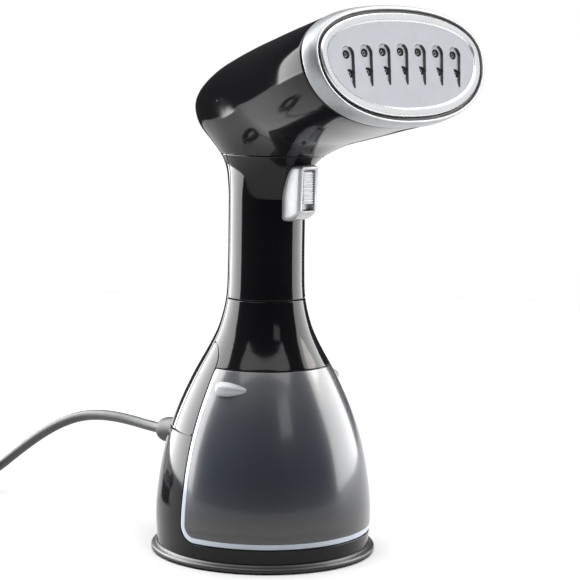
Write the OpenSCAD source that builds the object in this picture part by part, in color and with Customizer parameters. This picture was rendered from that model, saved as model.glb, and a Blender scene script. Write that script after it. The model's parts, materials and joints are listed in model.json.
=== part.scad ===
// Handheld garment steamer standing on its round base.
// Origin: centre of the resting face.  +Z up, the soleplate faces -Y.

/* [Bell and base] */
// Radius of the base flange
flange_r = 59.4; // [57.5:0.5:60]
// Height where the bell shell starts
bell_foot_z = 4.6; // [4.4:0.1:5]
// Height of the tank's lower edge
tank_z0 = 12; // [11.5:0.5:14]
// Height of the seam between tank and neck
tank_z1 = 100; // [97:1:102]
// Height where the body flanks end
flank_z = 112; // [110:1:114]
// Height of the ring seam under the handle
ring_z = 134.5; // [132:0.5:136]
// Half angle of the rear cover, seen from above
cover_half_angle = 67; // [62:1:70]
// Height of the rear cover's lower end
cover_z0 = 66; // [65:1:70]

/* [Shells] */
// Wall of the outer shells
wall = 2.2; // [1.8:0.1:2.6]
// Gap at seams between shells
seam = 0.3; // [0.2:0.1:0.5]
// Height of the seam between handle and head
head_seam_z = 207; // [204:1:210]

/* [Head] */
// Upward tilt of the soleplate
tilt = 15.5; // [12:0.5:18]
// How far the soleplate stands ahead of the handle axis
plate_y = 98.6; // [96:0.2:102]
// Height of the soleplate's centre
plate_z = 258.4; // [256:0.2:262]
// Half width of the soleplate
plate_a = 54.3; // [52:0.1:55]
// Half width of the trim ring
trim_a = 59.3; // [58:0.1:61]
// Depth of the trim ring
trim_depth = 8; // [7:0.5:9]
// Number of steam slots
slots = 7; // [5:1:7]
// Distance between steam slots
slot_pitch = 12.2; // [12:0.1:12.6]
// Radius of a steam hole
steam_hole_r = 1.3; // [1:0.1:1.4]

/* [Switch] */
// Height of the middle of the switch housing
switch_z = 190.8; // [189:0.2:192]
// Front face of the switch housing, ahead of the axis
switch_y = 31.5; // [31:0.1:32]

/* [Cord] */
// Diameter of the mains cord
cord_d = 6; // [5.6:0.1:6.4]
// Middle radius of the wound coil
coil_r = 37; // [36:0.5:38]

/* [Hidden] */
$fn = 96;
throat_h = 9; // depth of the head's neck below and into the shell

// ---- bell outline: radius against height, smoothed through a few chosen stations
bell_pts = [[bell_foot_z - 6, 55.4], [bell_foot_z, 56.1], [22, 57.1], [42, 55.1], [60, 51.3], [76, 45.9],
            [94, 37.6], [110, 28.8], [120, 24.3], [134, 20.9], [150, 20.1], [176, 20], [210, 20]];
function mix3(a, b, c, d, t) =
    0.5 * (2 * b + (c - a) * t + (2 * a - 5 * b + 4 * c - d) * t * t + (3 * b - a - 3 * c + d) * t * t * t);
function bell_step(i, t) = mix3(bell_pts[i - 1], bell_pts[i], bell_pts[i + 1], bell_pts[i + 2], t);
bell_curve = concat([for (i = [1 : len(bell_pts) - 3]) for (t = [0, 0.25, 0.5, 0.75]) bell_step(i, t)],
                    [bell_pts[len(bell_pts) - 2]]);

module bell_solid(inset = 0) {
    rotate_extrude()
        polygon(concat([[0, bell_curve[0][0] - 1], [bell_curve[0][1] - inset, bell_curve[0][0] - 1]],
                       [for (p = bell_curve) [p[1] - inset, p[0]]],
                       [[0, bell_curve[len(bell_curve) - 1][0]]]));
}
module slab_z(z0, z1) { translate([-150, -150, z0]) cube([300, 300, z1 - z0]); }
module front_half(y1) { translate([-150, -150, -10]) cube([300, 150 + y1, 320]); }
module rear_half(y0) { translate([-150, y0, -10]) cube([300, 150, 320]); }
// wedge about +Y whose half angle is a, from height z0 to z1
module rear_wedge(a, z0, z1) {
    reach = 160;
    translate([0, 0, z0]) linear_extrude(z1 - z0)
        polygon([[0, 0], [reach * sin(a), reach * cos(a)], [reach, reach], [-reach, reach],
                 [-reach * sin(a), reach * cos(a)]]);
}

// ---- plate frame: local +Z is the soleplate's outward normal, local +Y runs up the plate
module at_plate(depth = 0) {
    translate([0, -plate_y, plate_z]) rotate([90 - tilt, 0, 0]) translate([0, 0, -depth]) children();
}
function power(s, e) = sign(s) * pow(abs(s), e);
// egg-shaped oval: half width a, reaches up to top and down to bottom, widest at height mid
function egg(a, top, bottom, mid, n = 72, square = 2.25) =
    [for (i = [0 : n - 1]) let (q = 360 * i / n, s = power(sin(q), 2 / square))
        [a * power(cos(q), 2 / square), mid + s * (s > 0 ? top - mid : mid - bottom)]];
module plate_outline(grow = 0) { polygon(egg(plate_a + grow, 25.2 + grow, -26.4 - grow, 3.5)); }
module trim_outline(grow = 0) { polygon(egg(trim_a + grow, 30.4 + grow, -30.2 - grow, 3.5)); }

// ---- head outline stations: [depth behind plate, half width, top, bottom, widest height]
head_pts = [[9.3, 59.2, 30.2, -29.8, 3.5], [25, 56.5, 30.5, -29, 3.5], [42, 51.5, 31.2, -28.4, 3.6],
            [60, 45, 31.8, -27.4, 4.2], [80, 37.5, 32.2, -24.6, 5.4], [100, 31, 31.6, -20.3, 7.2],
            [118, 25.6, 29.8, -15, 9.2], [133, 20.4, 25.6, -8.2, 10.4], [143, 13.6, 20.5, -1.5, 10.8],
            [149, 5.4, 15.6, 5.6, 10.8]];
function head_section(h, inset) =
    [for (p = egg(max(h[1] - inset, 1), max(h[2] - inset, h[4] + 1), min(h[3] + inset, h[4] - 1), h[4], 48))
        [p[0], p[1], -h[0]]];
module loft(rings) {
    n = len(rings[0]);
    last = len(rings) - 1;
    polyhedron(concat([for (r = rings) for (p = r) p]),
               concat([[for (i = [0 : n - 1]) i]],
                      [for (k = [0 : last - 1]) for (i = [0 : n - 1])
                          [k * n + i, (k + 1) * n + i, (k + 1) * n + (i + 1) % n, k * n + (i + 1) % n]],
                      [[for (i = [n - 1 : -1 : 0]) last * n + i]]));
}
// thin-walled cup: outer stations from the open rim to the back, inner ones from the back to the rim
module head_cup(thick) {
    n = 48;
    outer = [for (h = head_pts) head_section(h, 0)];
    inner = [for (i = [len(head_pts) - 2 : -1 : 0]) head_section(head_pts[i], thick)];
    rings = concat(outer, inner);
    total = len(rings);
    back = len(outer) - 1;
    at_plate() polyhedron(
        concat([for (r = rings) for (p = r) p]),
        concat([for (k = [0 : total - 1]) if (k != back) for (i = [0 : n - 1])
                    [k * n + i, k * n + (i + 1) % n, ((k + 1) % total) * n + (i + 1) % n, ((k + 1) % total) * n + i]],
               [[for (i = [0 : n - 1]) back * n + i]],
               [[for (i = [n - 1 : -1 : 0]) (back + 1) * n + i]]));
}

// ================= head =================
function slot_shape(w, top, bottom) =
    concat([for (q = [0 : 20 : 180]) [w * cos(q), top - w + w * sin(q)]],
           [[-0.9, bottom + 1], [0, bottom], [0.9, bottom + 1]]);
module slot_places() {
    for (i = [0 : slots - 1]) let (k = i - (slots - 1) / 2)
        translate([k * slot_pitch, -0.17 * k * k, 0]) rotate([0, 0, -k * 0.7]) children();
}
module soleplate() {
    color([0.82, 0.83, 0.85]) at_plate() difference() {
        union() {
            translate([0, 0, -4]) linear_extrude(3.2) plate_outline();
            translate([0, 0, -0.9]) linear_extrude(0.9) difference() { plate_outline(); plate_outline(-4); }
        }
        slot_places() {
            translate([0, 0, -2.2]) linear_extrude(2) polygon(slot_shape(3.9, 10.4, -10.6));
            translate([0, 6.2, -5]) cylinder(r = steam_hole_r, h = 6);
            translate([0, -3, -5]) cylinder(r = steam_hole_r, h = 6);
        }
    }
}
module plate_gasket() {
    color([0.03, 0.03, 0.03]) at_plate() translate([0, 0, -6.5]) linear_extrude(4.7)
        difference() { plate_outline(1.7); plate_outline(0.1); }
}
module trim_ring() {
    color([0.62, 0.63, 0.65]) at_plate() translate([0, 0, -1 - trim_depth]) linear_extrude(trim_depth)
        difference() { trim_outline(); plate_outline(1.8); }
}
module heater_path(r) {
    for (s = [-1, 1]) translate([s * 18, -12, -14]) rotate([-90, 0, 0]) cylinder(r = r, h = 8);
    translate([0, -4, -14]) rotate_extrude(angle = 180) translate([18, 0]) circle(r = r, $fn = 32);
    for (s = [-1, 1]) translate([s * 18, -12, -14]) sphere(r = r, $fn = 32);
    for (s = [-1, 1]) translate([s * 18, -12, -27]) cylinder(r = r, h = 13);
}
module steam_chamber() {
    color([0.6, 0.6, 0.62]) at_plate() difference() {
        translate([0, 0, -20]) linear_extrude(15.9) plate_outline(-7);
        translate([0, 0, -9]) linear_extrude(6) plate_outline(-12);
        heater_path(3.3);
        translate([0, 0, -21]) cylinder(r = 2.2, h = 14);
    }
}
module heating_element() { color([0.35, 0.33, 0.32]) at_plate() heater_path(3.2); }
module chamber_cover() {
    color([0.7, 0.7, 0.7]) at_plate() difference() {
        union() {
            translate([0, 0, -22]) linear_extrude(1.9) plate_outline(-9);
            translate([0, 0, -30]) cylinder(r = 4, h = 8.5);
        }
        heater_path(3.6);
        translate([0, 0, -31]) cylinder(r = 2.2, h = 14);
    }
}
module thermostat() {
    color([0.85, 0.82, 0.75]) at_plate() translate([-32, 2, -27.2]) {
        cylinder(r = 7, h = 5.1);
        translate([-5, -2, -3]) cube([2, 4, 3.2]);
        translate([3, -2, -3]) cube([2, 4, 3.2]);
    }
}
module thermal_fuse() {
    color([0.9, 0.9, 0.85]) at_plate() translate([24, -8, -24.6]) rotate([0, 90, 0]) {
        cylinder(r = 2, h = 12);
        translate([0, 0, -4]) cylinder(r = 0.5, h = 20);
    }
}
module head_shell() {
    color([0.03, 0.03, 0.035]) difference() {
        union() {
            head_cup(wall);
            translate([0, 0, head_seam_z]) cylinder(r1 = 20, r2 = 24, h = throat_h);
        }
        translate([0, 0, head_seam_z - 1]) cylinder(r = 20 - wall, h = throat_h + 4);
    }
}

// ================= handle =================
module handle_front() {
    color([0.03, 0.03, 0.035]) difference() {
        intersection() {
            bell_solid();
            slab_z(ring_z + seam / 2, head_seam_z - seam);
        }
        bell_solid(wall);
        rear_wedge(cover_half_angle + 0.6, 100, 260);
        switch_body(0.15);
    }
}
module neck_collar() {
    color([0.03, 0.03, 0.035]) difference() {
        bell_solid();
        bell_solid(wall);
        slab_z(-20, tank_z1);
        slab_z(ring_z - seam / 2, 320);
        difference() { rear_half(-0.2); slab_z(flank_z, 320); }
        rear_wedge(cover_half_angle + 0.4, 90, 260);
    }
}
module rear_cover() {
    color([0.04, 0.04, 0.045]) difference() {
        intersection() {
            bell_solid();
            slab_z(cover_z0, head_seam_z - seam);
            rear_wedge(cover_half_angle, cover_z0 - 5, 260);
        }
        bell_solid(wall);
        for (s = [-1, 1]) cover_screw_place(s) cylinder(r = 1.7, h = 60);
    }
}
// outline of the switch housing seen from the side, drawn in (y, z)
module switch_body(grow = 0) {
    half = 14.8 + grow;
    translate([0, 0, switch_z]) hull() {
        for (z = [half - 1, -half + 7]) translate([0, -switch_y + 1 - grow, z])
            rotate([0, 90, 0]) cylinder(r = 1, h = 12.4 + 2 * grow, center = true, $fn = 24);
        translate([0, -17 + grow, half - 3]) rotate([0, 90, 0])
            cylinder(r = 3, h = 12.4 + 2 * grow, center = true, $fn = 24);
        translate([0, -19, -half + 5]) rotate([0, 90, 0])
            cylinder(r = 5, h = 12.4 + 2 * grow, center = true, $fn = 24);
    }
}
module switch_housing() {
    color([0.7, 0.7, 0.71]) difference() {
        switch_body();
        translate([-3.95, -switch_y - 1, switch_z - 9.4]) cube([7.9, 12, 22.9]);
        translate([-4.9, -switch_y + 3, switch_z - 11.6]) cube([9.8, 20, 24.6]);
    }
}
module switch_slider() {
    color([0.75, 0.76, 0.77]) difference() {
        union() {
            translate([-3.65, -switch_y - 0.1, switch_z - 5.3]) cube([7.3, 3.5, 17]);
            translate([-4.6, -switch_y + 3.3, switch_z - 7]) cube([9.2, 2, 18.4]);
            translate([-1.5, -switch_y + 5, switch_z + 1]) cube([3, 9, 4]);
        }
        for (k = [0 : 12]) translate([-4, -switch_y - 0.4, switch_z - 4.5 + k * 1.25]) cube([8, 0.8, 0.55]);
    }
}
module slide_switch() {
    color([0.1, 0.1, 0.11]) difference() {
        translate([-4.6, -20, switch_z - 9]) cube([9.2, 14, 22]);
        translate([-2, -21, switch_z - 4.5]) cube([4, 5, 13]);
    }
}
module control_board() {
    color([0.1, 0.35, 0.2]) {
        translate([-9, 8, 142]) cube([18, 1.6, 36]);
        translate([-6, 3.4, 146]) cube([7, 4.6, 10]);
        translate([3, 4, 160]) cube([4, 4, 9]);
    }
}
module tube_run(points, r) {
    for (i = [0 : len(points) - 2]) let (a = points[i], d = points[i + 1] - a, l = norm(d)) {
        translate(a) rotate([0, acos(d[2] / l), atan2(d[1], d[0])]) cylinder(r = r, h = l, $fn = 32);
        if (i > 0) translate(a) sphere(r = r + 0.3, $fn = 32);
    }
}
// middle of the steam inlet on the chamber cover, and the way behind it
function plate_point(y, depth) =
    [0, -plate_y + depth * cos(tilt) + y * sin(tilt), plate_z - depth * sin(tilt) + y * cos(tilt)];
module steam_pipe() {
    color([0.8, 0.8, 0.78]) tube_run([[0, 14, 92], [0, 14, 214], plate_point(0, 72), plate_point(0, 30.2)], 2.6);
}
module wire_harness() {
    color([0.15, 0.15, 0.5]) {
        tube_run([[13.5, 22, 62.9], [2, 7.5, 86], [-6, 9, 104], [-6, 11.2, 141.8]], 1.1);
        tube_run([[17.5, 22, 62.9], [12, 12, 86], [6.5, 9, 104], [6, 11.2, 141.8]], 1.1);
    }
}

// ================= body and base =================
boss_r = 3.6;
boss_pcd = 41;
module boss_places() { for (q = [45 : 90 : 315]) rotate([0, 0, q]) translate([boss_pcd, 0, 0]) children(); }
module cover_screw_place(s) { translate([s * 22, 0, 78]) rotate([-90, 0, 0]) children(); }
module body_shell() {
    color([0.04, 0.04, 0.045]) difference() {
        union() {
            difference() {
                intersection() {
                    difference() {
                        bell_solid();
                        bell_solid(wall);
                    }
                    slab_z(bell_foot_z, flank_z);
                }
                intersection() {
                    front_half(seam / 2);
                    slab_z(tank_z0 - seam, 200);
                }
                rear_wedge(cover_half_angle + 0.4, cover_z0 - seam, 200);
            }
            intersection() {
                bell_solid(wall - 0.2);
                slab_z(tank_z0 - 2.6, tank_z0 - 0.4);
            }
            intersection() {
                bell_solid(wall - 0.2);
                slab_z(tank_z0 - 1, flank_z - 8);
                front_half(2.4);
                rear_half(0.4);
            }
            boss_places() translate([0, 0, 4.7]) cylinder(r = boss_r, h = 6);
            for (s = [-1, 1]) cover_screw_place(s) translate([0, 0, 2]) cylinder(r = 3.2, h = 33.6);
        }
        for (s = [-1, 1]) cover_screw_place(s) translate([0, 0, 20]) cylinder(r = 1.5, h = 30);
        boss_places() cylinder(r = 1.45, h = 9);
        translate([0, 10, 56]) rotate([-90, 0, 0]) cylinder(r = 6, h = 60);
        translate([0, -2, 20]) rotate([-90, 0, 0]) cylinder(r = 2.5, h = 8);
    }
}
module base_flange() {
    color([0.02, 0.02, 0.02]) rotate_extrude() polygon([[52, 0.8], [flange_r - 0.8, 0.8], [flange_r, 1.6],
        [flange_r, 2.6], [flange_r - 0.6, 3.2], [56.6, 4.5], [52, 4.5]]);
}
module base_plate() {
    color([0.05, 0.05, 0.05]) difference() {
        translate([0, 0, 1.6]) cylinder(r = 51.9, h = 3);
        boss_places() {
            cylinder(r = 1.8, h = 9);
            translate([0, 0, 1]) cylinder(r = 3.4, h = 2.4);
        }
    }
}
module foot_pads() {
    color([0.1, 0.1, 0.1]) {
        for (q = [0 : 90 : 270]) rotate([0, 0, q]) translate([boss_pcd, 0, 0]) cylinder(r = 5, h = 1.6);
        cylinder(r = 8, h = 1.6);
    }
}
module base_screws() {
    color([0.6, 0.6, 0.6]) boss_places() difference() {
        union() {
            translate([0, 0, 1.7]) cylinder(r = 3, h = 1.7);
            translate([0, 0, 3.3]) cylinder(r = 1.4, h = 5.4);
        }
        for (q = [0, 90]) translate([0, 0, 1.7]) rotate([0, 0, q]) cube([3, 0.6, 1.4], center = true);
    }
}
module cover_screws() {
    color([0.6, 0.6, 0.6]) for (s = [-1, 1]) cover_screw_place(s) {
        translate([0, 0, 28]) cylinder(r = 1.4, h = 8.6);
        translate([0, 0, 36.5]) cylinder(r = 1.65, h = 1.6);
    }
}

// ================= pump and pipes =================
pump_x = -22;
pump_y = 24;
module pump_body() {
    color([0.85, 0.85, 0.83]) translate([pump_x, pump_y, 0]) difference() {
        union() {
            translate([0, 0, 20]) cylinder(r = 5.4, h = 40);
            translate([0, 0, 20]) cylinder(r = 12, h = 2);
            translate([0, 0, 54]) cylinder(r = 9, h = 2);
            translate([0, 0, 60]) cylinder(r = 2, h = 6);
            translate([0, 0, 15]) cylinder(r = 2, h = 5);
        }
        translate([0, 0, 24]) cylinder(r = 4.3, h = 32);
        translate([0, 0, 14]) cylinder(r = 1.1, h = 54);
    }
}
module pump_coil() {
    color([0.5, 0.25, 0.1]) translate([pump_x, pump_y, 24]) difference() {
        cylinder(r = 12.5, h = 28);
        translate([0, 0, -1]) cylinder(r = 5.5, h = 30);
    }
}
module pump_plunger() {
    color([0.6, 0.6, 0.65]) translate([pump_x, pump_y, 30]) difference() {
        cylinder(r = 4.1, h = 18);
        translate([0, 0, -1]) cylinder(r = 1.2, h = 20);
    }
}
module pump_mount() {
    color([0.1, 0.1, 0.1]) translate([pump_x, pump_y, 11.7]) difference() {
        cylinder(r = 10, h = 8.2);
        translate([0, 0, -1]) cylinder(r = 6, h = 10);
        translate([0, -3, -1]) cube([12, 6, 6.5]);
    }
}
module inlet_port() {
    color([0.9, 0.9, 0.9]) difference() {
        union() {
            translate([0, -3, 20]) rotate([-90, 0, 0]) cylinder(r = 2.4, h = 12);
            translate([0, 2.5, 20]) rotate([-90, 0, 0]) cylinder(r = 4.5, h = 1.5);
        }
        translate([0, -4, 20]) rotate([-90, 0, 0]) cylinder(r = 1.3, h = 14);
    }
}
module inlet_tube() {
    color([0.85, 0.85, 0.8]) tube_run([[0, 9.9, 20], [-3, 22, 15.8], [pump_x + 2.1, pump_y, 14.2]], 1.9);
}
module outlet_tube() {
    color([0.85, 0.85, 0.8]) tube_run([[pump_x, pump_y, 66.1], [pump_x, pump_y, 70], [-4, 15, 84], [0, 14, 91.9]], 2);
}

// ================= tank =================
tank_wall = 2;
tank_y = -0.3;
back_t = 3;
tab_angle = 68;
tab_z = 90.5;
tab_r = 37.2;
// local +X points outward along the tab's radius
module at_tab(s) { rotate([0, 0, s > 0 ? -90 + tab_angle : -90 - tab_angle]) translate([0, 0, tab_z]) children(); }
module water_tank() {
    color([0.3, 0.3, 0.31, 0.5]) difference() {
        union() {
            difference() {
                intersection() {
                    bell_solid();
                    slab_z(tank_z0, tank_z1 - seam);
                    front_half(tank_y - back_t);
                }
                intersection() {
                    bell_solid(tank_wall);
                    slab_z(tank_z0 + tank_wall, tank_z1 - seam - tank_wall);
                    front_half(0);
                }
            }
            intersection() {
                bell_solid(0.5);
                slab_z(tank_z0, tank_z1 - seam);
                front_half(tank_y - back_t);
                for (s = [-1, 1]) at_tab(s) translate([tab_r - 9, -10.5, -6]) cube([12, 21, 12]);
            }
        }
        for (s = [-1, 1]) at_tab(s) translate([tab_r - 7, -8.6, -4.1]) cube([20, 17.2, 8.2]);
    }
}
module tank_back() {
    color([0.55, 0.6, 0.65, 0.6]) difference() {
        intersection() {
            bell_solid();
            slab_z(tank_z0, tank_z1 - seam);
            front_half(tank_y);
            rear_half(tank_y - back_t + 0.01);
        }
        translate([0, -8, 72]) rotate([-90, 0, 0]) cylinder(r = 9, h = 12);
        translate([0, tank_y - 1.6, 72]) rotate([-90, 0, 0]) cylinder(r = 11.2, h = 12);
        translate([0, -8, 20]) rotate([-90, 0, 0]) cylinder(r = 2.7, h = 12);
    }
}
module filler_cap() {
    color([0.08, 0.08, 0.08]) difference() {
        union() {
            translate([0, tank_y - 1.05, 72]) rotate([-90, 0, 0]) cylinder(r = 10.9, h = 1);
            translate([0, -8, 72]) rotate([-90, 0, 0]) cylinder(r = 8.7, h = 7);
        }
        translate([0, tank_y - 0.2, 72]) cube([14, 1, 1.6], center = true);
    }
}
module cap_seal() {
    color([0.6, 0.1, 0.08]) translate([0, tank_y - 1.6, 72]) rotate([-90, 0, 0]) difference() {
        cylinder(r = 10.9, h = 0.5);
        translate([0, 0, -1]) cylinder(r = 9.1, h = 3);
    }
}
module valve_cage() {
    color([0.85, 0.85, 0.85]) translate([0, tank_y - back_t, 20]) rotate([90, 0, 0]) difference() {
        cylinder(r = 5.6, h = 12);
        translate([0, 0, -1]) cylinder(r = 4.3, h = 12);
        for (q = [0, 90]) rotate([0, 0, q]) translate([0, 0, 8]) cube([13, 2.4, 4], center = true);
    }
}
module valve_poppet() {
    color([0.2, 0.2, 0.22]) translate([0, tank_y - back_t - 2.3, 20]) rotate([90, 0, 0]) cylinder(r = 4, h = 3);
}
module valve_spring() {
    color([0.75, 0.75, 0.75]) translate([0, tank_y - back_t - 5.4, 20]) rotate([90, 0, 0])
        difference() {
            cylinder(r = 3.6, h = 5.5);
            translate([0, 0, -1]) cylinder(r = 2.9, h = 8);
        }
}
module release_tab(s) {
    color([0.5, 0.5, 0.5]) at_tab(s) difference() {
        translate([0, s * 8.3, -3.8]) linear_extrude(7.6)
            polygon([[tab_r - 4, 0], [tab_r + 3.5, 0], [tab_r + 6, -2.2 * s], [tab_r + 5.6, -7 * s],
                     [tab_r + 3.2, -12 * s], [tab_r - 0.5, -16.6 * s], [tab_r - 4, -16.6 * s]]);
        translate([tab_r - 5, 0, 0]) rotate([0, 90, 0]) cylinder(r = 2.3, h = 7);
    }
}
module release_tab_left() { release_tab(-1); }
module release_tab_right() { release_tab(1); }
module tab_springs() {
    color([0.75, 0.75, 0.75]) for (s = [-1, 1]) at_tab(s) translate([tab_r - 6.95, 0, 0]) rotate([0, 90, 0])
        difference() {
            cylinder(r = 2, h = 6);
            translate([0, 0, -1]) cylinder(r = 1.4, h = 9);
        }
}

// ================= mains cord =================
relief_z = 56;
relief_tip = [0, 79, 51.6];
// where the cord runs free, from the strain relief to the coil
route = [[0, 78, 51.8], [0, 88, 51], [-1, 98, 51.4], [-3, 110, 52.6], [-6, 122, 53.4],
         [-9, 134, 53], [-13, 146, 50.8], [-18, 157, 46], [-23, 167, 39.6], [-28, 176, 32.2], [-32, 185, 24.6],
         [-34.5, 194, 17.4], [-36, 204, 11.2], [-37, 215, 6.8], [-37, 224, 4.8], [-37, 233, 4.2]];
coil_at = [-80, 235, 1];
coil_half_w = 9.4;
coil_h = 19;
module terminal_block() { color([0.9, 0.9, 0.88]) translate([12, 18, 50]) cube([16, 9, 12]); }
module cord_clamp() {
    color([0.1, 0.1, 0.1]) difference() {
        translate([-11, 32, 51]) cube([22, 6, 10]);
        translate([0, 31, 56]) rotate([-90, 0, 0]) cylinder(r = 3.1, h = 8);
    }
}
module strain_relief() {
    run = relief_tip - [0, 52.4, relief_z];
    slope = atan2(run[2], run[1]);
    relief_run = norm(run);
    color([0.05, 0.05, 0.05]) union() {
        translate([0, 46, relief_z]) rotate([-90, 0, 0]) cylinder(r = 5.9, h = 7);
        translate([0, 38.1, relief_z]) rotate([-90, 0, 0]) cylinder(r = 3, h = 8);
        translate([0, 52.4, relief_z]) sphere(r = 7.4);
        translate([0, 52.4, relief_z]) rotate([slope - 90, 0, 0]) {
            cylinder(r1 = 7.5, r2 = 6.4, h = relief_run);
            translate([0, 0, relief_run]) sphere(r = 6.3);
        }
    }
}
function unit(v) = v / norm(v);
function ring_of(p, dir, r, n) =
    let (side = unit(cross(dir, [0, 0, 1])), up = cross(side, dir))
    [for (i = [0 : n - 1]) p + r * (cos(360 * i / n) * side + sin(360 * i / n) * up)];
function route_dir(i) = unit(route[min(i + 1, len(route) - 1)] - route[max(i - 1, 0)]);
module cord() {
    color([0.12, 0.12, 0.13]) loft([for (i = [0 : len(route) - 1]) ring_of(route[i], route_dir(i), cord_d / 2, 10)]);
}
module cord_coil() {
    color([0.12, 0.12, 0.13]) translate(coil_at) rotate_extrude()
        translate([coil_r - coil_half_w, 0]) square([2 * coil_half_w, coil_h]);
}
module cord_tie() {
    color([0.1, 0.1, 0.1]) translate(coil_at) rotate([0, 0, 300]) translate([coil_r, 0, coil_h / 2]) difference() {
        cube([2 * coil_half_w + 2, 12, coil_h + 2], center = true);
        cube([2 * coil_half_w, 14, coil_h], center = true);
    }
}
plug_at = [coil_at[0] - coil_r, coil_at[1] - 8, coil_at[2] + coil_h + 8.5];
function oval(a, b, n = 40, square = 3) = [for (i = [0 : n - 1]) let (q = 360 * i / n)
    [a * power(cos(q), 2 / square), b * power(sin(q), 2 / square)]];
module plug_body() {
    color([0.06, 0.06, 0.06]) translate(plug_at) {
        translate([0, -16, 0]) rotate([90, 0, 0]) linear_extrude(14) polygon(oval(12.5, 8.4));
        translate([0, -16.5, 0]) rotate([-99, 0, 0]) cylinder(r1 = 7.6, r2 = 4.4, h = 32);
    }
}
module plug_blades() {
    color([0.8, 0.75, 0.6]) translate(plug_at) for (x = [-6.35, 6.35])
        translate([x - 0.75, -47.5, -3.2]) cube([1.5, 17.4, 6.4]);
}

soleplate();
plate_gasket();
trim_ring();
steam_chamber();
heating_element();
chamber_cover();
thermostat();
thermal_fuse();
head_shell();
handle_front();
rear_cover();
neck_collar();
switch_housing();
switch_slider();
slide_switch();
control_board();
steam_pipe();
wire_harness();
body_shell();
base_flange();
base_plate();
foot_pads();
base_screws();
cover_screws();
pump_body();
pump_coil();
pump_plunger();
pump_mount();
inlet_tube();
outlet_tube();
inlet_port();
water_tank();
tank_back();
filler_cap();
cap_seal();
valve_cage();
valve_poppet();
valve_spring();
release_tab_left();
release_tab_right();
tab_springs();
terminal_block();
cord_clamp();
strain_relief();
cord();
cord_coil();
cord_tie();
plug_body();
plug_blades();
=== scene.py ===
"""Handheld garment steamer on its bell-shaped base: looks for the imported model, in metres."""
import json
import math

import bmesh
import bpy
import numpy as np
from mathutils import Matrix, Vector

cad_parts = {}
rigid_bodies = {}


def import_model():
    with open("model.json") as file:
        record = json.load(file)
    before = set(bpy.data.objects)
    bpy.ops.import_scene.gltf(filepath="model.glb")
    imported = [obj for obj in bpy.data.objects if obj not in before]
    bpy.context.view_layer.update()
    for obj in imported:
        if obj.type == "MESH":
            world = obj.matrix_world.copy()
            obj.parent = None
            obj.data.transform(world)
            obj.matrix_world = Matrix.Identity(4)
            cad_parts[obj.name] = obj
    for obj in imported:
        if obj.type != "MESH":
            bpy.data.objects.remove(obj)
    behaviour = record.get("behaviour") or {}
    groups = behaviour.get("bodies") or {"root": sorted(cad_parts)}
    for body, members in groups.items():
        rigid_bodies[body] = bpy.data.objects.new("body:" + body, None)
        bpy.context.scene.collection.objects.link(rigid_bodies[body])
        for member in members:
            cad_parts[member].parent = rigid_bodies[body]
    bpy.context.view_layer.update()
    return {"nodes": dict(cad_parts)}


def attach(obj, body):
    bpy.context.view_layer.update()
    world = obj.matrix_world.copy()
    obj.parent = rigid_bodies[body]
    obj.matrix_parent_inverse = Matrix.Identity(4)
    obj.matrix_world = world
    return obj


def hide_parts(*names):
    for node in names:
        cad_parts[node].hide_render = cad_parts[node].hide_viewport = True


MM = 0.001  # the shapes below are drawn in mm

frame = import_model()


# ------------------------------------------ shape of the shells, in mm
TILT = math.radians(15.5)
PLATE = np.array([0.0, -98.6, 258.4])
NORMAL = np.array([0.0, -math.cos(TILT), math.sin(TILT)])
UP = np.array([0.0, math.sin(TILT), math.cos(TILT)])
ACROSS = np.array([1.0, 0.0, 0.0])
HEAD_DEPTH = 150.5
SQUARE = 2.25  # exponent of the squarish ovals of head and plate
AXIS_Z = (0, 0, 1)
ORIGIN = (0, 0, 0)
BODY_Z0 = 4.5
TANK_Z0 = 12.0
COVER_Z0 = 66.0  # bottom of the rear cover
TANK_Z1 = 100.0
FLANK_Z = 112.0  # where the neck's side edge meets the rear cover
RING_Z = 134.5  # seam between neck and grip
FLARE_Z = 186.0  # above this the grip runs into the head
HEAD_Z = 210.0  # seam between grip and head
STEM_TOP = 238.0
COVER_ANGLE = 113.0  # the rear cover starts this far round from the front
SEAM = 0.35
CORNER_R = 9.0  # rounding of the tank's lower corners
WALL = 2.0
# height and radius of the bell and the grip
BELL = np.array([[-1.4, 55.4], [4.6, 56.1], [22, 57.1], [42, 55.1], [60, 51.3], [76, 45.9], [94, 37.6],
                 [110, 28.8], [120, 24.3], [134, 20.9], [150, 20.1], [176, 20.0], [210, 20.0]])
# stations behind the plate: depth, half width, top, bottom, height of the widest line
HEAD = np.array([[-4, 59.4, 29.6, -29.6, 3.5], [9.3, 59.2, 30.2, -29.8, 3.5], [25, 56.5, 30.5, -29, 3.5],
                 [42, 51.5, 31.2, -28.4, 3.6], [60, 45, 31.8, -27.4, 4.2], [80, 37.5, 32.2, -24.6, 5.4],
                 [100, 31, 31.6, -20.3, 7.2], [118, 25.6, 29.8, -15, 9.2], [133, 20.4, 25.6, -8.2, 10.4],
                 [143, 13.6, 20.5, -1.5, 10.8], [149, 5.4, 15.6, 5.6, 10.8]])
# the stem inside the head: height, half width, half depth, centre along Y
STEM = np.array([[170, 20, 20, 0], [188, 20, 20, 0], [199, 20.3, 22.6, -0.8], [207, 21, 26, -2.0],
                 [215, 22, 30, -4], [232, 22, 32, -6], [250, 16, 24, -6]])


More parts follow.
